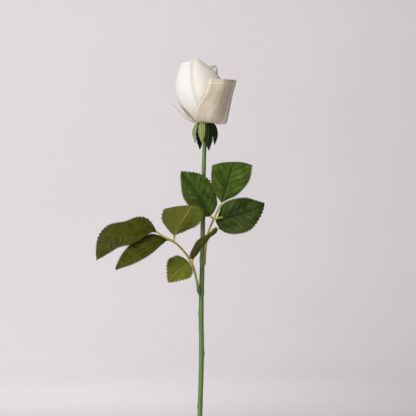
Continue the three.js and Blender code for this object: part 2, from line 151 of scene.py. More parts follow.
def make_piece(name, points, faces, finish):
    """A smooth-shaded object of these points and faces, with its faces turned outwards."""
    mesh = bpy.data.meshes.new(name)
    mesh.from_pydata(points, [], faces)
    shape = bmesh.new()
    shape.from_mesh(mesh)
    bmesh.ops.recalc_face_normals(shape, faces=shape.faces)
    shape.to_mesh(mesh)
    shape.free()
    mesh.polygons.foreach_set("use_smooth", [True] * len(mesh.polygons))
    mesh.materials.append(finish)
    piece = bpy.data.objects.new(name, mesh)
    bpy.context.scene.collection.objects.link(piece)
    return piece


def turned(name, outline, sides, finish):
    """A shape turned about the upright axis. Its outline holds radii and heights, and starts on the
    axis. It ends on the axis too, unless the shape is open."""
    outline = np.array(outline, float)
    ends = [i for i, (radius, _) in enumerate(outline) if radius < 1e-9]
    turns = np.linspace(0, 2 * pi, sides, endpoint=False)
    points = []
    rings = []
    for i, (radius, height) in enumerate(outline):
        if i in ends:
            rings.append([len(points)] * sides)
            points.append((0.0, 0.0, height))
        else:
            rings.append(list(range(len(points), len(points) + sides)))
            points += [(radius * np.cos(turn), radius * np.sin(turn), height) for turn in turns]
    faces = []
    for low, high in zip(rings, rings[1:]):
        for k in range(sides):
            after = (k + 1) % sides
            corners = [low[k], low[after], high[after], high[k]]
            faces.append(list(dict.fromkeys(corners)))
    return make_piece(name, points, faces, finish)


def studio_paper():
    """Matt card with a faint, cloudy unevenness."""
    finish, tree, surface = start_finish("studio_paper")
    cloud = speckle(tree, places(tree), 0.4)
    card = mixed(tree, cloud, colour(226, 221, 223), colour(221, 216, 218))
    feed(tree, surface.inputs["Base Color"], card)
    set_sockets(surface, Roughness=0.95, Specular_IOR_Level=0.1)
    return finish


paper_outline = [(0, PAPER_LEVEL), (0.5, PAPER_LEVEL), (PAPER_FLOOR_RADIUS, PAPER_LEVEL)]
for rise in np.radians(np.arange(3, 90, 3)):
    out = PAPER_FLOOR_RADIUS + PAPER_CURVE_RADIUS * np.sin(rise)
    paper_outline.append((out, PAPER_CURVE_RADIUS * (1 - np.cos(rise))))
paper_outline.append((PAPER_FLOOR_RADIUS + PAPER_CURVE_RADIUS, PAPER_HEIGHT))
paper = turned("paper", paper_outline, 96, studio_paper())


def soft_light(name, place, aim, width, height, power, tint=(1, 1, 1)):
    """A rectangular soft light at a place, turned towards a point. The camera doesn't see it."""
    data = bpy.data.lights.new(name, "AREA")
    data.shape = "RECTANGLE"
    data.size = width
    data.size_y = height
    data.energy = power
    data.color = tint
    light = bpy.data.objects.new(name, data)
    light.location = place
    light.rotation_mode = "QUATERNION"
    towards = np.array(aim, float) - np.array(place, float)
    from_vector = type(light.location)
    light.rotation_quaternion = from_vector(towards).to_track_quat("-Z", "Y")
    light.visible_camera = False
    bpy.context.scene.collection.objects.link(light)


soft_light("key_light", (-0.88, -1.18, 1.6), (0, 0, 0.44), 0.9, 1.2, 27, (0.985, 1.0, 0.985))
soft_light("low_light", (-0.9, -1.3, 0.35), (0, 0, 0.5), 0.8, 0.5, 10)
soft_light("fill_light", (0.6, -1.1, 1.9), (0, 0, 0.5), 1.2, 1.2, 3.8)
soft_light("left_paper_light", (-0.6, 0.95, 1.05), (-0.5, 2.8, 0.85), 1.0, 1.0, 7.9)
soft_light("middle_paper_light", (-0.2, 1.05, 1.1), (-0.2, 2.75, 0.85), 0.9, 0.9, 8.6)
soft_light("floor_paper_light", (-0.1, 0.7, 1.0), (-0.1, 0.7, 0), 1.3, 0.8, 1.6)

room = bpy.data.worlds.new("room")
room.use_nodes = True
room.node_tree.nodes["Background"].inputs["Color"].default_value = colour(232, 228, 232)
room.node_tree.nodes["Background"].inputs["Strength"].default_value = 0.13
bpy.context.scene.world = room


# Bud vase: one piece of pale stoneware, thrown as a bottle with a round belly and a slim neck. It is
# dipped in a satin off-white glaze, which thins over the lip and stops just above the bare foot.
VASE_HEIGHT = 180
VASE_BELLY_RADIUS = 37
VASE_NECK_RADIUS = 10.6
VASE_BORE_RADIUS = 7.5
VASE_WALL = 3.6
VASE_FLOOR = 6
GLAZE_EDGE_HEIGHT = 2.2
THROWING_RING_SPACING = 3.4
THROWING_RING_DEPTH = 0.1


def smooth_line(points, shares):
    """Places on a smooth line through the points, at shares of the way counted point by point."""
    given = np.array(points, float)
    given = np.vstack([2 * given[0] - given[1], given, 2 * given[-1] - given[-2]])
    spans = np.sqrt(np.linalg.norm(np.diff(given, axis=0), axis=1))
    last = len(points) - 1
    steps = np.clip(np.asarray(shares, float) * last, 0, last - 1e-9)
    i = steps.astype(int)
    w = (steps - i)[..., None]
    before, here, after = [spans[i + k][..., None] for k in range(3)]
    p0, p1, p2, p3 = [given[i + k] for k in range(4)]
    leaving = ((p1 - p0) / before - (p2 - p0) / (before + here) + (p2 - p1) / here) * here
    arriving = ((p2 - p1) / here - (p3 - p1) / (here + after) + (p3 - p2) / after) * here
    start = (2 * w**3 - 3 * w**2 + 1) * p1 + (w**3 - 2 * w**2 + w) * leaving
    return start + (3 * w**2 - 2 * w**3) * p2 + (w**3 - w**2) * arriving


def vase_outline():
    """The vase's section in millimetres: underside, bare foot, outside, lip, inside and floor."""
    foot = [(0, 0), (14, 0), (24, 0), (28.2, 0), (29.4, 0.3), (30.1, 1.0), (30.4, GLAZE_EDGE_HEIGHT)]
    outside = smooth_line(
        [
            (31.3, GLAZE_EDGE_HEIGHT + 0.3),
            (35.5, 16),
            (VASE_BELLY_RADIUS, 36),
            (VASE_BELLY_RADIUS - 4, 64),
            (VASE_BELLY_RADIUS - 13, 90),
            (VASE_NECK_RADIUS + 4.5, 114),
            (VASE_NECK_RADIUS + 0.4, 135),
            (VASE_NECK_RADIUS, 155),
            (VASE_NECK_RADIUS + 1.8, VASE_HEIGHT - 2),
        ],
        np.linspace(0, 1, 260),
    )
    heights = outside[:, 1]
    worn = np.clip((heights - 5) / 12, 0, 1) * np.clip((VASE_HEIGHT - 10 - heights) / 14, 0, 1)
    rings = np.sin(2 * pi * heights / THROWING_RING_SPACING + 1.3 * np.sin(heights / 9))
    outside[:, 0] += THROWING_RING_DEPTH * worn * rings
    lip = smooth_line(
        [(12.45, 178.6), (12.4, 179.3), (11.9, 179.85), (11.1, 180), (10.4, 179.85), (9.9, 179.3)],
        np.linspace(0, 1, 18),
    )
    inside = smooth_line(
        [
            (VASE_BORE_RADIUS + 2.1, VASE_HEIGHT - 1.2),
            (VASE_BORE_RADIUS, VASE_HEIGHT - 7),
            (VASE_BORE_RADIUS, 140),
            (VASE_NECK_RADIUS + 0.4, 114),
            (VASE_BELLY_RADIUS - 13 - VASE_WALL, 88),
            (VASE_BELLY_RADIUS - 4 - VASE_WALL, 62),
            (VASE_BELLY_RADIUS - VASE_WALL, 36),
            (VASE_BELLY_RADIUS - 2 - VASE_WALL, 18),
            (25, VASE_FLOOR + 1),
        ],
        np.linspace(0, 1, 90),
    )
    floor = [(18, VASE_FLOOR), (8, VASE_FLOOR), (0, VASE_FLOOR)]
    return np.vstack([foot, outside, lip, inside, floor])


def height_of(tree, where):
    """How high each place lies."""
    split = tree.nodes.new("ShaderNodeSeparateXYZ")
    tree.links.new(where, split.inputs["Vector"])
    return split.outputs["Z"]


def stoneware_glaze():
    """Satin off-white glaze with fine iron specks, over pale clay that shows at the foot."""
    finish, tree, surface = start_finish("stoneware_glaze")
    where = places(tree)
    height = height_of(tree, where)
    cloudy = fade(tree, speckle(tree, where, 30 * MM, 4.0), 0.35, 0.7)
    glaze = mixed(tree, cloudy, colour(238, 233, 223), colour(228, 221, 208))
    iron = fade(tree, speckle(tree, where, 1.6 * MM, 1.0), 0.73, 0.77)
    glaze = mixed(tree, sum_of(tree, "MULTIPLY", iron, 0.6), glaze, colour(142, 118, 92))
    uneven = sum_of(tree, "MULTIPLY", speckle(tree, where, 6 * MM), 1.6 * MM)
    lip_height = sum_of(tree, "ADD", height, uneven)
    thin = fade(tree, lip_height, (VASE_HEIGHT - 0.6) * MM, (VASE_HEIGHT + 0.9) * MM)
    glaze = mixed(tree, thin, glaze, colour(206, 184, 152))
    grit = speckle(tree, where, 1.2 * MM, 3.0)
    clay = mixed(tree, grit, colour(205, 188, 162), colour(178, 158, 130))
    glazed = fade(tree, height, (GLAZE_EDGE_HEIGHT - 0.1) * MM, (GLAZE_EDGE_HEIGHT + 0.1) * MM)
    feed(tree, surface.inputs["Base Color"], mixed(tree, glazed, clay, glaze))
    dull = sum_of(tree, "MULTIPLY_ADD", cloudy, 0.1, 0.26)
    shine = tree.nodes.new("ShaderNodeMix")
    feed(tree, shine.inputs[0], glazed)
    shine.inputs[2].default_value = 0.85
    feed(tree, shine.inputs[3], dull)
    feed(tree, surface.inputs["Roughness"], shine.outputs[0])
    orange_peel = speckle(tree, where, 4 * MM)
    feed(tree, surface.inputs["Normal"], bumped(tree, orange_peel, 0.04 * MM))
    set_sockets(surface, Coat_Weight=0.2, Coat_Roughness=0.2)
    return finish


vase = turned("bud_vase_glazed", vase_outline() * MM, 144, stoneware_glaze())
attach(vase, "root")
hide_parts("bud_vase")


# Stem: steel wire in a moulded green plastic coat, with the seams of its two-part mould. Its knots
# copy those of a real rose, where leaves have grown. It stands on the vase's floor.
STEM_ROUTE = [
    (2.2, 0, 6.4),
    (4.6, 0, 176),
    (7.0, 0, 267),
    (6.6, 0, 305),
    (7.7, 0, 360),
    (8.0, 0, 378),
    (8.8, 0, 430),
    (9.7, 0, 470),
    (10.5, 0, 490),
]
STEM_FOOT_RADIUS = 2.6
STEM_TOP_RADIUS = 2.1
STEM_TAPER_FROM = 350
STEM_FLUTE_DEPTH = 0.05
STEM_SEAM_HEIGHT = 0.07
# Each knot swells the stem all round, and its bud or scar stands out towards one side.
STEM_KNOTS = [
    {"z": 212, "swell": 0.15, "bud": 0.5, "side": 180},
    {"z": 267, "swell": 0.2, "bud": 0.55, "side": 0},
    {"z": 309, "swell": 0.1, "bud": 0.5, "side": 175},
    {"z": 330, "swell": 0.25, "bud": 0.2, "side": 200},
    {"z": 364, "swell": 0.5, "bud": 0.35, "side": 20},
]


def even_line(points, shares):
    """Places on a smooth line through the points, at shares of its length."""
    fine = np.linspace(0, 1, 400)
    run = np.linalg.norm(np.diff(smooth_line(points, fine), axis=0), axis=1)
    run = np.concatenate([[0], np.cumsum(run)])
    return smooth_line(points, np.interp(np.asarray(shares) * run[-1], run, fine))


def unit(vectors):
    """The same directions, each one long."""
    return vectors / np.linalg.norm(vectors, axis=-1, keepdims=True)


def rod(name, line, radii, finish):
    """A round rod along a line of places. radii has a row for each place, and a column for each
    direction round it, which start at the right and turn towards the front."""
    along = unit(np.gradient(line, axis=0))
    front = np.array([0.0, -1.0, 0.0])
    right = unit(np.cross(along, front))
    front = np.cross(right, along)
    sides = radii.shape[1]
    turns = np.linspace(0, 2 * pi, sides, endpoint=False)[None, :, None]
    outward = np.cos(turns) * right[:, None] + np.sin(turns) * front[:, None]
    skin = line[:, None] + outward * radii[..., None]
    points = np.vstack([skin.reshape(-1, 3), line[:1], line[-1:]])
    index = np.arange(radii.size).reshape(radii.shape)
    after = np.roll(index, -1, axis=1)
    walls = np.stack([index[:-1], after[:-1], after[1:], index[1:]], axis=-1).reshape(-1, 4)
    foot = [[radii.size, a, b] for a, b in zip(index[0], after[0])]
    top = [[radii.size + 1, a, b] for a, b in zip(index[-1], after[-1])]
    return make_piece(name, points.tolist(), walls.tolist() + foot + top, finish)


def mark(piece, name, values):
    """Keeps a number with each point of a piece, for its finish to read."""
    kept = piece.data.attributes.new(name, "FLOAT", "POINT")
    kept.data.foreach_set("value", np.asarray(values, np.float32).ravel())


def marked(tree, name):
    """The number that a mark keeps with each point."""
    made = tree.nodes.new("ShaderNodeAttribute")
    made.attribute_name = name
    return made.outputs["Fac"]


def stem_coat():
    """Smooth green plastic, mottled along its length and paler on its knots."""
    finish, tree, surface = start_finish("stem_coat")
    where = places(tree)
    streaks = speckle(tree, where, 4 * MM, 4.0, (1, 1, 0.12))
    blotches = fade(tree, speckle(tree, where, 18 * MM), 0.35, 0.7)
    green = mixed(tree, streaks, colour(78, 104, 42), colour(104, 128, 62))
    green = mixed(tree, sum_of(tree, "MULTIPLY", blotches, 0.5), green, colour(72, 96, 46))
    green = mixed(tree, marked(tree, "knot"), green, colour(104, 118, 50))
    feed(tree, surface.inputs["Base Color"], green)
    feed(tree, surface.inputs["Normal"], bumped(tree, streaks, 0.12 * MM))
    set_sockets(surface, Roughness=0.42)
    return finish


stem_line = even_line(STEM_ROUTE, np.linspace(0, 1, 900))
stem_z = stem_line[:, 2]
stem_turns = np.linspace(0, 2 * pi, 28, endpoint=False)[None, :]
slender = np.clip((stem_z - STEM_TAPER_FROM) / (STEM_ROUTE[-1][2] - STEM_TAPER_FROM), 0, 1)
stem_radii = STEM_FOOT_RADIUS + (STEM_TOP_RADIUS - STEM_FOOT_RADIUS) * slender
stem_radii = stem_radii[:, None] + 0 * stem_turns
stem_radii -= STEM_FLUTE_DEPTH * np.abs(np.sin(stem_turns * 5 + stem_z[:, None] / 45)) ** 3
stem_radii += STEM_SEAM_HEIGHT * np.exp(-((np.sin(stem_turns + pi / 2) / 0.12) ** 2))
knot_marks = 0 * stem_radii
for knot in STEM_KNOTS:
    level = stem_z - knot["z"]
    all_round = np.exp(-((level / 3.2) ** 2)) + 0.5 * np.exp(-(((level + 2.2) / 0.8) ** 2))
    facing = np.clip(np.cos(stem_turns - radians(knot["side"])), 0, 1) ** 3
    bud = np.exp(-((np.maximum(level, 0) / 1.3) ** 2 + (np.minimum(level, 0) / 3.5) ** 2))
    stem_radii += knot["swell"] * all_round[:, None] + knot["bud"] * bud[:, None] * facing
    knot_marks += 0.8 * bud[:, None] * (0.3 + 0.7 * facing)
stem = rod("stem_coated", stem_line * MM, stem_radii * MM, stem_coat())
mark(stem, "knot", np.append(np.clip(knot_marks, 0, 1), [0, 0]))
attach(stem, "root")
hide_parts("stem")


# Leaf stalks: thin wire in yellow-green plastic. Each starts as a green sheath that is melted onto
# the stem. It has a groove along its front, and a thick joint wherever a side stalk leaves it.
UPPER_STALK = [
    (8.6, -2.6, 354.5),
    (9.8, -4.8, 360),
    (10.6, -5.4, 369),
    (12, -6.5, 381),
    (14.5, -8.5, 393),
    (19.6, -11.5, 405.5),
    (23.6, -13, 414),
    (27.6, -14.8, 422),
]
UPPER_SIDE_STALKS = [
    [(19.6, -11.5, 405.5), (17.6, -12, 407), (15.8, -12, 408.3)],
    [(19.6, -11.5, 405.5), (24, -12.9, 406.6), (28.8, -13.2, 407.3)],
]
LOWER_STALK = [
    (5.7, -2.5, 324.5),
    (4.1, -4.2, 330),
    (2.9, -4.9, 338),
    (0, -7, 351),
    (-3.4, -10.5, 361),
    (-13.4, -20, 375.5),
    (-22.2, -28, 383.3),
    (-31.4, -33.5, 388),
    (-38, -37, 393),
]
LOWER_SIDE_STALKS = [
    [(-3.4, -10.5, 361), (-4.6, -10.9, 361.4), (-5.4, -11.2, 361.3)],
    [(-3.4, -10.5, 361), (-2.2, -11.6, 362.4), (-1.4, -12.2, 364.4)],
    [(-22.2, -28, 383.3), (-25, -28.6, 384.2), (-27.5, -29, 384.6)],
    [(-22.2, -28, 383.3), (-20.8, -29.4, 385), (-20.2, -30.6, 388.3)],
]
LEAF_STALK_RADIUS = 1.3
SHEATH_RADIUS = 1.8
SHEATH_LENGTH = 24
STALK_JOINT_SWELL = 0.22
STALK_GROOVE_DEPTH = 0.16


def smoothstep(value, low, high):
    """0 where the value is at or under low, 1 where it is at or over high, and smooth between."""
    share = np.clip((value - low) / (high - low), 0, 1)
    return share * share * (3 - 2 * share)


def stalk_coat(name, foot_height):
    """Yellow-green plastic that turns to ochre in patches, and to the stem's green at its sheath."""
    finish, tree, surface = start_finish(name)
    where = places(tree)
    patches = fade(tree, speckle(tree, where, 9 * MM, 3.0), 0.35, 0.68)
    skin = mixed(tree, patches, colour(176, 170, 62), colour(160, 146, 42))
    flecks = fade(tree, speckle(tree, where, 1.5 * MM), 0.62, 0.74)
    skin = mixed(tree, sum_of(tree, "MULTIPLY", flecks, 0.35), skin, colour(120, 100, 36))
    sheath_end = (foot_height + SHEATH_LENGTH) * MM
    past_sheath = fade(tree, height_of(tree, where), (foot_height + 4) * MM, sheath_end)
    feed(tree, surface.inputs["Base Color"], mixed(tree, past_sheath, colour(86, 104, 38), skin))
    feed(tree, surface.inputs["Normal"], bumped(tree, speckle(tree, where, 1 * MM), 0.08 * MM))
    set_sockets(surface, Roughness=0.45)
    return finish


def leaf_stalk(name, main, sides, finish):
    """A main rod and its side rods, melted into one skin."""
    turns = np.linspace(0, 2 * pi, 16, endpoint=False)[None, :]
    shares = np.linspace(0, 1, 120)
    line = even_line(main, shares)
    radii = LEAF_STALK_RADIUS + (SHEATH_RADIUS - LEAF_STALK_RADIUS) * np.exp(-((shares / 0.16) ** 2))
    radii = radii * (0.3 + 0.7 * smoothstep(shares, 0, 0.09)) - 0.3 * shares
    for side in sides:
        reach = np.linalg.norm(line - np.array(side[0]), axis=1)
        radii += STALK_JOINT_SWELL * np.exp(-((reach / 1.6) ** 2))
    groove = STALK_GROOVE_DEPTH * np.exp(-((np.sin((turns - pi / 2) / 2) / 0.22) ** 2))
    rods = [rod(name, line * MM, (radii[:, None] - groove) * MM, finish)]
    for side in sides:
        side_line = even_line(side, np.linspace(0, 1, 12))
        slim = np.full((12, turns.size), LEAF_STALK_RADIUS * 0.75)
        rods.append(rod(name + "_side", side_line * MM, slim * MM, finish))
    with bpy.context.temp_override(active_object=rods[0], selected_editable_objects=rods):
        bpy.ops.object.join()
    whole = rods[0]
    melted = whole.modifiers.new("melted", "REMESH")
    melted.mode = "VOXEL"
    melted.voxel_size = 0.22 * MM
    melted.use_smooth_shade = True
    smoothed = whole.modifiers.new("smoothed", "SMOOTH")
    smoothed.iterations = 3
    return whole


upper_coat = stalk_coat("upper_stalk_coat", UPPER_STALK[0][2])
upper_stalk = leaf_stalk("upper_leaf_stalk_coated", UPPER_STALK, UPPER_SIDE_STALKS, upper_coat)
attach(upper_stalk, "root")
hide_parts("upper_leaf_stalk")

lower_coat = stalk_coat("lower_stalk_coat", LOWER_STALK[0][2])
lower_stalk = leaf_stalk("lower_leaf_stalk_coated", LOWER_STALK, LOWER_SIDE_STALKS, lower_coat)
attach(lower_stalk, "root")
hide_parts("lower_leaf_stalk")


# Leaflets: printed cloth, cut with toothed edges and pressed hot between veined moulds, so that the
# veins are sunk on the face and stand up underneath. Each is glued to the end of its stalk.
LEAFLET_THICKNESS = 0.6
# left and right are a blade's widths beside its midrib, evenly spaced from foot to tip. turn twists it,
# in degrees, and fold lifts its sides, both at its foot and at its tip. A blade with a crest bends
# back there. Its vein share is how strongly its veins are coloured: printed yellow on the lower leaf,
# and painted darker on the upper leaf as painted shade in its sunk veins. Its lightness lightens or
# darkens all its colours, as painted light and shade for how the light falls on that leaflet.
LEAFLETS = [
    {
        "name": "upper_leaf_tip",
        "midrib": [
            (27.9, -15, 422.6),
            (33, -18, 440),
            (38.2, -20, 457),
            (43.2, -21.5, 473),
            (47.6, -22.5, 490),
        ],
        "across": (0.99, 0, 0.1),
        "left": (4, 14.1, 19, 19.2, 15, 0),
        "right": (3, 13.3, 19.1, 18, 12, 0),
        "turn": (12, 4),
        "fold": (0.14, 0.02),
        "crest": 463.6,
        "vein_print_and_shade_share": 0.85,
        "painted_lightness": 1.1,
        "slot": "upper_leaf_green",
    },
    {
        "name": "upper_leaf_left",
        "midrib": [
            (15.5, -12.3, 408.8),
            (11, -11.8, 416.8),
            (6.5, -11.4, 425.9),
            (0.2, -11, 436.2),
            (-6.3, -10, 444.5),
            (-14.1, -9, 454.5),
        ],
        "across": (0.85, 0, 0.53),
        "left": (8, 12.5, 15.7, 14.8, 8.3, 0),
        "right": (9, 13.6, 16.2, 16.4, 11.8, 0),
        "turn": (20, 28),
        "fold": (0.2, 0.1),
        "vein_print_and_shade_share": 0.85,
        "painted_lightness": 0.92,
        "slot": "upper_leaf_green",
    },
    {
        "name": "upper_leaf_right",
        "midrib": [
            (22.1, -8.8, 403.1),
            (30.1, -10.2, 404.7),
            (41.4, -12.8, 408.3),
            (52.6, -15, 411.8),
            (62.7, -16.5, 415.8),
            (71.3, -16, 421.6),
        ],
        "across": (0.2, 0, -0.98),
        "left": (1, 13.6, 17.3, 17, 12.2, 0),
        "right": (7.8, 14.7, 17.3, 16.3, 8.9, 0),
        "base_rounding": 0.04,
        "turn": (14, 18),
        "fold": (0.16, 0.1),
        "vein_print_and_shade_share": 0.85,
        "painted_lightness": 0.66,
        "slot": "upper_leaf_green",
    },
    {
        "name": "lower_leaf_tip",
        "midrib": [
            (-38.6, -37.3, 393.2),
            (-48.4, -39.5, 395.3),
            (-62.3, -42, 393.3),
            (-75.1, -44.5, 389.9),
            (-87.8, -46.5, 382.5),
            (-97.4, -47, 365),
        ],
        "across": (0.1, 0, 0.99),
        "left": (0.8, 8.6, 13.5, 11.4, 9.8, 0),
        "right": (5.5, 12.7, 11.1, 12.8, 6.7, 0),
        "turn": (36, 24),
        "fold": (0.14, 0.06),
        "vein_print_and_shade_share": 0.2,
        "painted_lightness": 0.74,
        "slot": "lower_leaf_green",
    },
    {
        "name": "lower_leaf_outer_left",
        "midrib": [
            (-28, -29.3, 384.8),
            (-36.4, -38, 382.4),
            (-45, -45, 377.1),
            (-58.7, -53, 368.7),
            (-69.1, -57.5, 362.1),
            (-77.2, -60, 356.8),
        ],
        "across": (-0.5, 0, 0.86),
        "left": (0.6, 4.5, 7, 7.1, 6.1, 0),
        "right": (6.5, 12.1, 13.9, 12.3, 7.8, 0),
        "turn": (38, 34),
        "fold": (0.16, 0.1),
        "vein_print_and_shade_share": 0.3,
        "painted_lightness": 0.9,
        "slot": "lower_leaf_green",
    },
    {
        "name": "lower_leaf_outer_right",
        "midrib": [
            (-20, -30.9, 388.8),
            (-15.5, -33, 398.2),
            (-9.9, -36, 407.3),
            (-5.1, -37.5, 415),
            (-0.5, -38.7, 423),
            (4.5, -39.5, 431.5),
        ],
        "across": (0.94, 0, -0.1),
        "left": (14.5, 21.2, 21.7, 20, 13.9, 0),
        "right": (0, 6.8, 13, 14, 8.9, 0),
        "turn": (-16, -12),
        "fold": (-0.35, -0.1),
        "crest": 419.2,
        "shows_underside": True,
        "vein_print_and_shade_share": 0.7,
        "painted_lightness": 0.85,
        "slot": "lower_leaf_green",
    },
    {
        "name": "lower_leaf_inner_left",
        "midrib": [
            (-5.9, -11.5, 360.9),
            (-10.8, -17, 357.5),
            (-17, -24, 352.9),
            (-22.7, -29, 347.1),
            (-26.3, -31.5, 342.2),
        ],
        "across": (-0.67, 0, 0.74),
        "left": (3.5, 9.6, 12.7, 11.6, 7.3, 0),
        "right": (12.5, 13.5, 14.5, 11.6, 5.5, 0),
        "turn": (20, 16),
        "fold": (0.1, 0.06),
        "shows_underside": True,
        "vein_print_and_shade_share": 0.5,
        "painted_lightness": 1.5,
        "slot": "lower_leaf_green",
    },
    {
        "name": "lower_leaf_inner_right",
        "midrib": [(-1.2, -12.6, 364.8), (2.8, -18, 375.5), (11.7, -22.5, 385.8), (23.1, -25, 396)],
        "across": (0.78, 0, -0.62),
        "left": (6, 11.2, 15.3, 15.1, 10.6, 0),
        "right": (0.5, 5.4, 7.2, 6.5, 4.5, 0),
        "turn": (72, 66),
        "fold": (0.14, 0.1),
        "vein_print_and_shade_share": 0.2,
        "painted_lightness": 1.4,
        "slot": "lower_leaf_green",
    },
]
BASE_ROUNDING = 0.16
BEND_RADIUS = 3
BEND_ANGLE = radians(115)
CREST_DROP = 3.2
VEIN_SPACING = 7.5
VEIN_SLANT = 0.62
VEIN_BEND = 0.012
SIDE_VEIN_WIDTH = 0.36
MAIN_VEIN_WIDTH = 0.55
TOOTH_SPACING = 2.7
TOOTH_LENGTH = 1.9
# The colours of each printing of the cloth: its face, its blotches, its veins, the painted highlight on
# the raised fields between them and its underside. The upper print's dark veins are painted shade in
# the sunk veins, and the lower print's yellow veins are printed. The last number is how strongly it
# shines.
LEAF_PRINTS = {
    "upper_leaf_green": [
        colour(50, 68, 18),
        colour(72, 90, 28),
        colour(30, 42, 10),
        colour(104, 124, 68),
        colour(104, 124, 76),
        0.1,
    ],
    "lower_leaf_green": [
        colour(58, 61, 9),
        colour(76, 80, 18),
        colour(158, 150, 36),
        colour(88, 92, 26),
        colour(86, 91, 32),
        0.08,
    ],
}


def crowded(count):
    """Shares from -1 to 1 that lie closer together towards both edges."""
    even = np.linspace(-1, 1, count)
    return 0.5 * even + 0.5 * np.sin(even * pi / 2)


def thin_shell(name, middle, over, under, finish):
    """Closes a grid of middle places into a thin shell. over and under are how far its upper and
    lower faces lie from the middle."""
    normal = unit(np.cross(np.gradient(middle, axis=1), np.gradient(middle, axis=0)))
    faces_of_it = [middle + normal * over[..., None], middle - normal * under[..., None]]
    points = np.concatenate([side.reshape(-1, 3) for side in faces_of_it]) * MM
    count = over.size
    index = np.arange(count).reshape(over.shape)
    quads = np.stack([index[:-1, :-1], index[:-1, 1:], index[1:, 1:], index[1:, :-1]], axis=-1)
    quads = quads.reshape(-1, 4)
    rim = np.concatenate([index[0], index[1:, -1], index[-1, -2::-1], index[-2:0:-1, 0]])
    after = np.roll(rim, -1)
    edge = np.stack([after, rim, rim + count, after + count], axis=-1)
    faces = np.vstack([quads, quads[:, ::-1] + count, edge])
    return make_piece(name, points.tolist(), faces.tolist(), finish)


def smooth_value(values, shares):
    """Reads a smooth value between ones that stand 20 mm apart, at shares of the way past them."""
    return smooth_line([(20 * i, value) for i, value in enumerate(values)], shares)[..., 1]


def blade(leaf, u, v):
    """The middle surface of a blade on a grid: v along its midrib and u from its left edge, -1, to
    its right one, 1. Also its direction across and the distance of each place from the midrib."""
    midrib = even_line(leaf["midrib"], v)
    along = unit(np.gradient(midrib, axis=0))
    rightward = unit(np.array(leaf["across"], float))
    side = unit(rightward - (along @ rightward)[:, None] * along)
    turn = np.radians(leaf["turn"][0] + (leaf["turn"][1] - leaf["turn"][0]) * v)[:, None]
    side = side * np.cos(turn) + np.cross(along, side) * np.sin(turn)
    up = np.cross(side, along)
    rounding = leaf.get("base_rounding", BASE_ROUNDING)
    rounded = np.sqrt(1 - (1 - np.minimum(v / rounding, 1)) ** 2)
    widths = [np.maximum(smooth_value(leaf[edge], v), 0) for edge in ("left", "right")]
    left, right = [0.3 + width[:, None] * rounded[:, None] for width in widths]
    off = np.where(u < 0, left, right) * u
    fold = (leaf["fold"][0] + (leaf["fold"][1] - leaf["fold"][0]) * v)[:, None] * np.abs(off)
    middle = midrib[:, None] + side[:, None] * off[..., None] + up[:, None] * fold[..., None]
    return middle, side, up, off


def bent_back(middle, u, crest):
    """Bends a blade's upper part back over a crest at this height, which drops towards the edges."""
    over = np.maximum(middle[..., 2] - (crest - CREST_DROP * np.abs(u) ** 3 - BEND_RADIUS), 0)
    turned_by = np.minimum(over / BEND_RADIUS, BEND_ANGLE)
    rest = over - turned_by * BEND_RADIUS
    bent = middle.copy()
    bent[..., 1] += BEND_RADIUS * (1 - np.cos(turned_by)) + rest * np.sin(BEND_ANGLE)
    bent[..., 2] += BEND_RADIUS * np.sin(turned_by) + rest * np.cos(BEND_ANGLE) - over
    return bent


def waves(u, v, chance, count):
    """Smooth random unevenness, from about -1 to 1, over a grid of u and v."""
    total = np.zeros(np.broadcast(u, v).shape)
    for _ in range(count):
        total += np.sin(chance.uniform(1, 5) * u + chance.uniform(2, 9) * v + chance.uniform(0, 2 * pi))
    return total / count**0.5


def leaf_cloth(leaf):
    """Printed cloth with a soft gloss on its face, a painted highlight on the raised fields between its
    veins, and a paler, duller underside.
    """
    *colours, shine = LEAF_PRINTS[leaf["slot"]]
    # Each leaflet's colours are lightened or darkened here, as painted light and shade.
    painted_lightness = leaf["painted_lightness"]
    colours = [(painted_lightness * red, painted_lightness * green, painted_lightness * blue, 1.0) for red, green, blue, _ in colours]
    face, blotch, vein_print_and_shade_colour, field_highlight_colour, underside_colour = colours
    finish, tree, surface = start_finish(leaf["name"] + "_print")
    where = places(tree)
    vein = sum_of(tree, "MULTIPLY", marked(tree, "vein"), leaf["vein_print_and_shade_share"])
    underside = marked(tree, "underside")
    cloud = fade(tree, speckle(tree, where, 11 * MM, 4.0), 0.35, 0.72)
    green = mixed(tree, cloud, face, blotch)
    fleck = fade(tree, speckle(tree, where, 0.9 * MM), 0.5, 0.75)
    green = mixed(tree, sum_of(tree, "MULTIPLY", fleck, 0.22), green, blotch)
    # Painted highlight: lighter grey-green patches on the crowns of the raised fields.
    painted_field_highlight = fade(tree, speckle(tree, where, 6 * MM, 3.0), 0.42, 0.68)
    painted_field_highlight = sum_of(tree, "MULTIPLY", painted_field_highlight, marked(tree, "field_highlight_mask"))
    green = mixed(tree, sum_of(tree, "MULTIPLY", painted_field_highlight, 0.5), green, field_highlight_colour)
    # Veins: printed yellow on the lower leaf, and painted shade in the sunk veins of the upper leaf.
    green = mixed(tree, vein, green, vein_print_and_shade_colour)
    pale = mixed(tree, sum_of(tree, "MULTIPLY", cloud, 0.4), underside_colour, blotch)
    pale = mixed(tree, vein, pale, vein_print_and_shade_colour)
    feed(tree, surface.inputs["Base Color"], mixed(tree, underside, green, pale))
    feed(tree, surface.inputs["Roughness"], sum_of(tree, "MULTIPLY_ADD", underside, 0.22, 0.46))
    feed(tree, surface.inputs["Normal"], bumped(tree, speckle(tree, where, 0.6 * MM), 0.06 * MM))
    set_sockets(surface, Specular_IOR_Level=shine)
    return finish


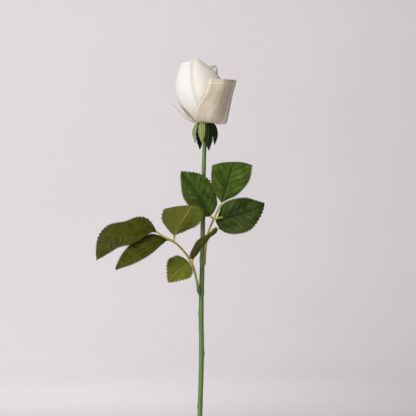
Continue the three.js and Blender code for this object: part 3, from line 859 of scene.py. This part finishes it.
def leaflet(leaf, seed):
    """One leaflet, with its teeth, sunk veins and cushioned fields between them."""
    chance = np.random.default_rng(seed)
    u = crowded(71)
    v = np.linspace(0, 1, 161)
    middle, side, up, off = blade(leaf, u, v)
    length = np.linalg.norm(np.diff(even_line(leaf["midrib"], v), axis=0), axis=1).sum()
    run = (v * length)[:, None]
    apart = np.abs(off)

    # Teeth point towards the tip: each rises slowly and falls away fast.
    tooth = (run / TOOTH_SPACING + 0.35 * np.sign(off)) % 1
    tooth = np.where(tooth < 0.75, tooth / 0.75, (1 - tooth) / 0.25)
    rim = smoothstep(np.abs(u), 0.9, 1)[None, :] * smoothstep(v, 0.04, 0.14)[:, None]
    rim = rim * (1 - smoothstep(v, 0.93, 0.99))[:, None]
    middle += side[:, None] * (np.sign(off) * TOOTH_LENGTH * tooth * rim)[..., None]

    # Side veins leave the midrib in turn, left and right, and bend towards the tip.
    stagger = np.where(off > 0, 0.5 * VEIN_SPACING, 0)
    vein_run = run - VEIN_SLANT * apart - VEIN_BEND * apart**2 + stagger
    nearest = (vein_run / VEIN_SPACING + 0.5) % 1 - 0.5
    side_vein = np.exp(-((nearest * VEIN_SPACING / SIDE_VEIN_WIDTH) ** 2)) * smoothstep(run, 1.5, 6)
    side_vein = side_vein * (1 - smoothstep(np.abs(u), 0.75, 0.96))[None, :]
    main_vein = np.exp(-((apart / MAIN_VEIN_WIDTH) ** 2)) * (1 - 0.5 * smoothstep(v, 0.6, 1))[:, None]
    vein = np.clip(main_vein + 0.35 * side_vein, 0, 1)
    cushion = 1 - np.cos(pi * nearest) ** 2
    cushion = cushion * smoothstep(apart, 0.8, 5) * (1 - smoothstep(np.abs(u), 0.8, 1))[None, :]
    relief = 0.35 * cushion - 0.2 * side_vein - 0.7 * main_vein
    uneven = waves(u[None, :] * 1.2, v[:, None] * 1.6, chance, 6)
    relief += uneven * smoothstep(np.abs(u), 0.1, 0.7)[None, :]
    middle += up[:, None] * relief[..., None]
    if "crest" in leaf:
        middle = bent_back(middle, u, leaf["crest"])

    thin = 0.5 * LEAFLET_THICKNESS * (1 - 0.45 * smoothstep(np.abs(u), 0.85, 1))[None, :]
    thin = thin + 0 * relief
    ribbed = thin + 0.28 * side_vein + 0.5 * main_vein
    upside_down = "shows_underside" in leaf
    over, under = (ribbed, thin) if upside_down else (thin, ribbed)
    piece = thin_shell(leaf["name"] + "_cloth", middle, over, under, leaf_cloth(leaf))
    mark(piece, "vein", np.tile(vein.ravel(), 2))
    # The raised fields carry the cloth's painted highlight.
    mark(piece, "field_highlight_mask", np.tile(cushion.ravel(), 2))
    mark(piece, "underside", np.repeat([float(upside_down), float(not upside_down)], vein.size))
    return piece


for number, leaf in enumerate(LEAFLETS):
    piece = leaflet(leaf, 20 + number)
    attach(piece, "root")
    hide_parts(leaf["name"])


# Calyx: a small moulded plastic cup with shallow ribs. The stem's end is glued into it from below,
# and the petals are threaded on above it.
FLOWER_PLACE = np.array([11.1, 0, 506])
CALYX_OUTLINE = [
    (0, -15.7),
    (2.9, -15.7),
    (3.3, -15.2),
    (3.6, -13.8),
    (5.2, -11),
    (7.2, -6.5),
    (8.4, -3),
    (8.9, -1.2),
    (8.8, -0.4),
    (8.2, 0),
    (0, 0),
]


def sepal_cloth(name, light, stripe, inside):
    """Matt green cloth, striped along its length outside, and darker inside, partly its own colour and
    partly painted shade.
    """
    finish, tree, surface = start_finish(name)
    fleck = fade(tree, speckle(tree, places(tree), 1.2 * MM, 3.0), 0.45, 0.75)
    outside = mixed(tree, marked(tree, "stripe"), light, stripe)
    outside = mixed(tree, sum_of(tree, "MULTIPLY", fleck, 0.3), outside, stripe)
    feed(tree, surface.inputs["Base Color"], mixed(tree, marked(tree, "inside"), outside, inside))
    feed(tree, surface.inputs["Normal"], bumped(tree, fleck, 0.1 * MM))
    set_sockets(surface, Roughness=0.75, Specular_IOR_Level=0.15)
    return finish


calyx_line = smooth_line(CALYX_OUTLINE[1:-1], np.linspace(0, 1, 60))
calyx_outline = np.vstack([CALYX_OUTLINE[:1], calyx_line, CALYX_OUTLINE[-1:]])
calyx_finish = sepal_cloth("calyx_coat", colour(142, 160, 96), colour(96, 120, 58), colour(70, 90, 40))
calyx = turned("calyx_moulded", calyx_outline * MM, 80, calyx_finish)
calyx_points = np.array([corner.co for corner in calyx.data.vertices])
calyx_turns = np.arctan2(calyx_points[:, 1], calyx_points[:, 0])
small_ribs = 0.5 + 0.5 * np.cos(calyx_turns * 20)
large_ribs = 0.5 + 0.5 * np.cos(calyx_turns * 5)
calyx_points[:, :2] *= (1 - 0.03 * small_ribs - 0.03 * large_ribs)[:, None]
calyx.data.vertices.foreach_set("co", (calyx_points + FLOWER_PLACE * MM).ravel())
mark(calyx, "stripe", small_ribs)
mark(calyx, "inside", np.zeros(len(calyx_turns)))
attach(calyx, "root")
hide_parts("calyx")


# Sepals: five pointed strips of green cloth with ragged edges, two of them with a small side lobe.
# They are glued round the calyx's rim, arch outwards and hang around the top of the stem.
CALYX_RADIUS = 9
GAP = 0.3
SEPAL_THICKNESS = 0.6
SEPAL_STRIPE_SPACING = 1.7
# angle is a sepal's direction round the calyx, reach how far it arches out, and lobe how far its side
# lobe stands out.
SEPALS = [
    {"name": "sepal_left", "angle": 203, "length": 22, "reach": 4.0, "width": 9.5, "lobe": 0},
    {"name": "sepal_front", "angle": 249, "length": 22.5, "reach": 2.0, "width": 7.5, "lobe": 0},
    {"name": "sepal_right_front", "angle": 292, "length": 30, "reach": 0.3, "width": 10.5, "lobe": 2},
    {"name": "sepal_right", "angle": 331, "length": 24, "reach": 3.0, "width": 11.5, "lobe": 0},
    {"name": "sepal_back", "angle": 128, "length": 28, "reach": 1.2, "width": 11, "lobe": 1.4},
]
SEPAL_OUTLINE = (0.6, 0.93, 0.98, 0.8, 0.45, 0)
light_sepal = sepal_cloth("sepal_light", colour(170, 174, 116), colour(74, 92, 36), colour(40, 52, 14))
# A much darker copy of the same cloth, as painted shade for the sepals that stand in shade at the right
# and back.
shaded_sepal = sepal_cloth("sepal_painted_shade", colour(44, 54, 16), colour(20, 25, 5), colour(20, 26, 5))

for number, sepal in enumerate(SEPALS):
    chance = np.random.default_rng(60 + number)
    rim = CALYX_RADIUS + SEPAL_THICKNESS / 2 + GAP
    reach = sepal["reach"]
    length = sepal["length"]
    half_widths = [sepal["width"] / 2 * share for share in SEPAL_OUTLINE]
    out = np.array([np.cos(radians(sepal["angle"])), np.sin(radians(sepal["angle"])), 0])
    droop = [
        (rim, -1.6),
        (rim + reach * 0.7, -length * 0.25),
        (rim + reach, -length * 0.6),
        (rim + reach * 0.7 - 1, -length),
    ]
    shape = {
        "midrib": [FLOWER_PLACE + out * radius + np.array([0, 0, height]) for radius, height in droop],
        "across": (out[1], -out[0], 0),
        "left": half_widths,
        "right": half_widths,
        "turn": (0, 0),
        "fold": (-0.25, -0.25),
    }
    u = crowded(41)
    v = np.linspace(0, 1, 111)
    middle, side, up, off = blade(shape, u, v)
    ragged = 0.8 * waves(0 * u[None, :], v[:, None] * 14 + 2 * np.sign(u)[None, :], chance, 5)
    lobe = sepal["lobe"] * np.exp(-(((v - 0.62) / 0.045) ** 2))[:, None] * (u[None, :] > 0)
    rim_share = smoothstep(np.abs(u), 0.45, 1)[None, :] * np.sin(pi * v)[:, None]
    middle += side[:, None] * (np.sign(off) * (ragged + lobe) * rim_share)[..., None]
    stripes = 0.5 + 0.5 * np.cos(off * 2 * pi / SEPAL_STRIPE_SPACING + 0.6 * np.sin(v * 6)[:, None])
    middle += up[:, None] * (0.1 * stripes + 0.25 * waves(u[None, :], v[:, None], chance, 4))[..., None]
    thin = 0.5 * SEPAL_THICKNESS * (1 - 0.5 * smoothstep(np.abs(u), 0.8, 1))[None, :] + 0 * off
    # The sepals at the right and back take the copy with painted shade.
    cloth = light_sepal if sepal["name"] in ("sepal_left", "sepal_front") else shaded_sepal
    piece = thin_shell(sepal["name"] + "_cloth", middle, thin, thin, cloth)
    mark(piece, "stripe", np.tile(stripes.ravel(), 2))
    # The lower face takes the darker inside colour, which is partly painted shade.
    mark(piece, "inside", np.repeat([0.0, 1.0], stripes.size))
    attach(piece, "root")
    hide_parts(sepal["name"])


# Petals: fine-woven white cloth, cut, dipped in starch and pressed to shape with warm irons. Their
# edges are rolled to a narrow hem, and they are threaded on from the heart outwards and glued.
BUD_HEIGHT = 66
BUD_LEAN = 0.155
PETAL_THICKNESS = 0.5
PETAL_FOOT = GAP + PETAL_THICKNESS / 2
ROLL_WIDTH = 4.5
HEM_RAISE = 0.25
# The width of the painted highlight that runs along the inner edge of each hem.
HEM_HIGHLIGHT_WIDTH = 0.5
PUCKER_SPACING = 2.513
# middle is a petal's direction and half its width, both in degrees, and waist is the share of that
# width at its foot. claw is the bud's radius at the foot and belly how far it swells above, up to the
# height tall. lap moves the left edge inwards and the right edge outwards, at the foot and above it.
# top is the height of the top edge and flare how far it stands off, both from left to right.
OUTER = {"tall": BUD_HEIGHT, "claw": 8.4, "belly": 19, "lap": (1.3, 1.1)}
MIDDLE = {
    "half": 62,
    "waist": 0.42,
    "tall": BUD_HEIGHT - 2,
    "claw": 6.0,
    "belly": 16.2,
    "lap": (0.3, 0.9),
    "top": (48, 55, 58, 56, 50),
    "flare": (0, 0),
    "rolls": (0, 0.2, 0.5),
}
INNER = {
    "half": 78,
    "waist": 0.42,
    "tall": BUD_HEIGHT - 3,
    "claw": 4.5,
    "belly": 12,
    "lap": (0.3, 0.8),
    "top": (46, 54, 57, 55, 48),
    "flare": (0, 0),
    "rolls": (0, 0.2, 0.5),
}
WRAPPING_PETALS = [
    {
        "name": "petal_left",
        "middle": 174,
        "half": 82,
        "waist": 1.11,
        "top": (50, 55, 58, 61, 62),
        "flare": (0, 0.5, 1, 0.5, 0),
        "rolls": (0, -1.7, 0.5),
        **OUTER,
    },
    {
        "name": "petal_front",
        "middle": 316,
        "half": 80,
        "waist": 0.92,
        "top": (61, 64.5, 63, 49.5, 34),
        "flare": (0, 0, -0.5, -1.5, -1.5),
        "rolls": (0.3, 0.2, 0.5),
        **OUTER,
    },
    {
        "name": "petal_back",
        "middle": 84,
        "half": 79,
        "waist": 0.92,
        "top": (44, 61, 62.5, 62, 60, 58, 56, 54, 52),
        "flare": (-2, 4, 4.6, 4, 3, 2, 1.4, 1, 0.8),
        "rolls": (0, 0.2, 0.5),
        **OUTER,
    },
]
for number in range(4):
    WRAPPING_PETALS.append({"name": f"petal_middle_{number + 1}", "middle": 40 + 90 * number, **MIDDLE})
for number in range(3):
    WRAPPING_PETALS.append({"name": f"petal_inner_{number + 1}", "middle": 100 + 120 * number, **INNER})


def petal_cloth(name, light, shade, glow_colour, streaked):
    """Warm white cloth, puckered and streaked, creamy at its foot, with light glowing through it, and a
    painted highlight along the inner edge of each hem.
    """
    finish, tree, surface = start_finish(name)
    laid = places(tree, "UV")
    cloud = speckle(tree, places(tree), 12 * MM, 3.0)
    white = mixed(tree, cloud, light, shade)
    streak = fade(tree, speckle(tree, laid, 1.6 * MM, 3.0, (1, 0.07, 1)), 0.45, 0.7)
    white = mixed(tree, sum_of(tree, "MULTIPLY", streak, streaked), white, shade)
    foot = fade(tree, sum_of(tree, "SUBTRACT", 1.0, marked(tree, "along")), 0.7, 1.0)
    foot = sum_of(tree, "MULTIPLY", foot, 0.45)
    white = mixed(tree, foot, white, colour(226, 219, 184))
    # Painted highlight: a lighter line along the inner edge of each hem, where light catches its step.
    hem_highlight = sum_of(tree, "MULTIPLY", marked(tree, "hem_highlight"), 0.7)
    white = mixed(tree, hem_highlight, white, colour(252, 250, 244))
    feed(tree, surface.inputs["Base Color"], white)
    # A wave texture of scale 1 turns through 20 radians in each metre.
    puckers = []
    for direction in ("X", "Y"):
        pucker = tree.nodes.new("ShaderNodeTexWave")
        pucker.bands_direction = direction
        pucker.inputs["Scale"].default_value = 2 * pi / (PUCKER_SPACING * MM) / 20
        pucker.inputs["Distortion"].default_value = 0.6
        tree.links.new(laid, pucker.inputs["Vector"])
        puckers.append(pucker.outputs["Fac"])
    puckered = sum_of(tree, "MAXIMUM", *puckers)
    feed(tree, surface.inputs["Normal"], bumped(tree, puckered, 0.05 * MM))
    set_sockets(surface, Roughness=0.8, Specular_IOR_Level=0.2)
    set_sockets(surface, Sheen_Weight=0.1, Sheen_Roughness=0.5)
    glow = tree.nodes.new("ShaderNodeBsdfTranslucent")
    feed(tree, glow.inputs["Color"], mixed(tree, foot, glow_colour, colour(226, 206, 140)))
    both = tree.nodes.new("ShaderNodeMixShader")
    both.inputs["Fac"].default_value = 0.3
    tree.links.new(surface.outputs[0], both.inputs[1])
    tree.links.new(glow.outputs[0], both.inputs[2])
    tree.links.new(both.outputs[0], tree.nodes["Material Output"].inputs["Surface"])
    return finish


white_cloth = petal_cloth(
    "white_petal_cloth", colour(244, 244, 242), colour(236, 235, 231), colour(246, 238, 216), 0.4
)
ivory_cloth = petal_cloth(
    "ivory_petal_cloth", colour(248, 246, 241), colour(239, 235, 227), colour(246, 236, 214), 0.6
)
# The right petal's cloth is a little creamier than the rest, and is painted darker and warmer with dark
# streaks, as painted shade for the shade this petal stands in.
shaded_cream_cloth = petal_cloth(
    "shaded_cream_petal_cloth", colour(242, 236, 225), colour(203, 189, 164), colour(240, 224, 186), 0.95
)


def steps_from(middle, axis, backwards):
    """How far each place of a grid lies from the grid's first or last line, along an axis."""
    steps = np.linalg.norm(np.diff(middle, axis=axis), axis=2)
    if backwards:
        steps = np.flip(steps, axis)
    run = np.cumsum(steps, axis=axis)
    run = np.insert(run, 0, 0, axis=axis)
    return np.flip(run, axis) if backwards else run


def petal(name, middle, v, rolls, hems, seed, wave, cloth):
    """One petal from its middle surface. rolls are how far its left edge, its right edge and its top
    bend outwards, hems are the widths of the hems there, and wave is how uneven it is."""
    chance = np.random.default_rng(seed)
    rows, columns = middle.shape[:2]
    normal = unit(np.cross(np.gradient(middle, axis=1), np.gradient(middle, axis=0)))
    u = crowded(columns)[None, :]
    height = v[:, None]
    pleats = np.sin(u * 9 + chance.uniform(0, 6) + 0.8 * np.sin(3 * height))
    pleats = 0.45 * pleats * smoothstep(height, 0.1, 0.7)
    uneven = wave * (pleats + 0.6 * waves(u * 1.3, height * 0.7, chance, 5))
    uneven = uneven * smoothstep(height, 0.05, 0.4)
    left = steps_from(middle, 1, False)
    right = steps_from(middle, 1, True)
    above = steps_from(middle, 0, True)
    edge = np.minimum(np.minimum(left, right), above)
    free = smoothstep(height, 0.1, 0.35)
    rolled = np.zeros((rows, columns))
    raised = np.zeros((rows, columns))
    hem_highlight_line = np.zeros((rows, columns))
    # Each edge rolls and its hem stands up, and a line of painted highlight runs along the hem's inner
    # edge.
    for distance, roll, width in zip((left, right, above), rolls, hems):
        rolled += roll * (1 - smoothstep(distance, 0, ROLL_WIDTH)) * free
        raised = np.maximum(raised, 1 - smoothstep(distance, width - 0.35, width + 0.15))
        hem_highlight_line = np.maximum(hem_highlight_line, np.exp(-(((distance - width) / HEM_HIGHLIGHT_WIDTH) ** 2)))
    middle = middle + normal * (uneven + rolled)[..., None]
    raised = HEM_RAISE * raised * free
    half = PETAL_THICKNESS / 2 * (1 - 0.4 * (1 - smoothstep(edge, 0, 0.5)))
    piece = thin_shell(name + "_cloth", middle + FLOWER_PLACE, half + raised, half, cloth)
    mark(piece, "along", np.tile((height + 0 * u).ravel(), 2))
    mark(piece, "hem_highlight", np.tile((hem_highlight_line * free).ravel(), 2))
    laid = piece.data.uv_layers.new(name="laid")
    flat = np.stack([left, np.max(above, axis=0)[None, :] - above], axis=-1).reshape(-1, 2) * MM
    corners = np.zeros(len(piece.data.loops), int)
    piece.data.loops.foreach_get("vertex_index", corners)
    laid.data.foreach_set("uv", flat[corners % (rows * columns)].ravel())
    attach(piece, "root")
    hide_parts(name)
    return piece


def wrapping(shape, u, v):
    """A petal that wraps the bud along an egg shape, about an axis that leans to the left. Where it
    flares, its top edge stands off the egg and curls over."""
    u, v = np.meshgrid(u, v)
    height = PETAL_FOOT + (smooth_value(shape["top"], (u + 1) / 2) - PETAL_FOOT) * v
    narrowing = shape["waist"] + (1 - shape["waist"]) * smoothstep(v, 0, 0.55)
    angle = np.radians(shape["middle"] + u * shape["half"] * narrowing)
    foot_lap, top_lap = shape["lap"]
    tuck = u * (foot_lap + (top_lap - foot_lap) * smoothstep(height, 0, 20))
    lean = smooth_value(shape["flare"], (u + 1) / 2) * smoothstep(height, 40, 60)
    share = np.clip((height - 1.6 * lean) / shape["tall"], 0, 1)
    egg = shape["claw"] * (1 - share) ** 0.35 + shape["belly"] * np.sin(pi * share**0.96) ** 0.7
    curled = smoothstep(v, 0.8, 1.1)
    radius = egg + tuck + lean * (1 + 0.8 * curled)
    height = height - 1.2 * lean * curled**2
    x = radius * np.cos(angle) - BUD_LEAN * height
    return np.stack([x, radius * np.sin(angle), height], axis=-1)


petal_u = crowded(81)
petal_v = 1 - np.linspace(1, 0, 91) ** 1.35
for number, shape in enumerate(WRAPPING_PETALS):
    middle = wrapping(shape, petal_u, petal_v)
    cloth = ivory_cloth if shape["name"] == "petal_front" else white_cloth
    hems = (1.0, 0.1, 1.0) if shape["name"] == "petal_left" else (1.0, 1.0, 1.0)
    petal(shape["name"], middle, petal_v, shape["rolls"], hems, 100 + number, 0.42, cloth)

# Heart petal: the innermost one, rolled on itself for more than a turn.
HEART_HEIGHT = 52
HEART_TURNS = 1.35
HEART_ROLL_GAP = 2.2
heart_u, heart_v = np.meshgrid(crowded(141), petal_v)
heart_height = PETAL_FOOT + (HEART_HEIGHT - 3 * heart_u - PETAL_FOOT) * heart_v
heart_roll = (heart_u + 1) / 2
heart_swell = np.sin(pi * heart_v**0.9)
heart_radius = 0.9 + HEART_ROLL_GAP * HEART_TURNS * heart_roll * (0.6 + 0.4 * heart_swell)
heart_radius = heart_radius * (1 + 0.9 * heart_swell)
heart_angle = 2 * pi * HEART_TURNS * heart_roll
heart_x = heart_radius * np.cos(heart_angle) - BUD_LEAN * heart_height
heart_middle = np.stack([heart_x, heart_radius * np.sin(heart_angle), heart_height], axis=-1)
petal("petal_heart", heart_middle, petal_v, (0, 0.1, 0.1), (0.6, 0.6, 0.8), 130, 0.05, white_cloth)

# Right petal: opened out from the front of the bud to the right, with its top folded over level.
RIGHT_PETAL_LEFT = [
    (-9.9, -6.1, -0.3),
    (-12, -10.2, 2.5),
    (-12.4, -16.9, 7.7),
    (-9, -23.5, 15),
    (-0.4, -31, 27),
    (3.1, -33, 41),
]
RIGHT_PETAL_RIDGE = [
    (3, -11, -0.5),
    (4.8, -15, -1.6),
    (6.6, -20, 2.5),
    (11.2, -24.5, 12),
    (16.6, -28.3, 27),
    (19.2, -30.5, 41),
]
RIGHT_PETAL_RIGHT = [
    (9.6, -1.4, -0.4),
    (15.6, -5, -2.8),
    (21.2, -8, -2.6),
    (24.6, -9.5, 9),
    (28, -11, 25),
    (32.6, -14, 41.6),
]
# How softly the petal bends at its ridge, as a share of each side: at its foot and above it
RIDGE_WIDTH_AT_FOOT = 0.6
RIDGE_WIDTH = 0.14
right_u, right_v = np.meshgrid(crowded(101), petal_v)
right_lines = [RIGHT_PETAL_LEFT, RIGHT_PETAL_RIDGE, RIGHT_PETAL_RIGHT]
right_lines = [smooth_line(line, right_v) for line in right_lines]
right_soft = RIDGE_WIDTH_AT_FOOT + (RIDGE_WIDTH - RIDGE_WIDTH_AT_FOOT) * smoothstep(right_v, 0, 0.25)
right_bend = np.hypot(right_u, right_soft) - right_soft
right_bend /= np.hypot(1, right_soft) - right_soft
right_shares = [(right_bend - right_u) / 2, 1 - right_bend, (right_bend + right_u) / 2]
right_middle = sum(line * share[..., None] for line, share in zip(right_lines, right_shares))
# Its cloth is the creamier one with painted shade.
petal("petal_right", right_middle, petal_v, (-1.6, -0.8, -0.5), (2.2, 4.4, 4.6), 140, 0.4, shaded_cream_cloth)

# Low left petal: bent down and out, cupped upwards, so that the front sees it edge-on.
LOW_PETAL = {
    "midrib": [(-10.8, 0, -1.5), (-20.8, 0, 3), (-28.4, 0, 11.6), (-36.3, 0, 20)],
    "across": (0, -1, 0),
    "left": (7, 11.5, 14.8, 14, 9.2, 0),
    "right": (7, 11.5, 14.8, 14, 9.2, 0),
    "turn": (0, 0),
    "fold": (-0.3, -0.22),
}
low_middle = blade(LOW_PETAL, crowded(71), petal_v)[0]
petal("petal_low_left", low_middle, petal_v, (0.2, 0.2, 0.2), (1.0, 1.0, 1.0), 150, 0.2, white_cloth)
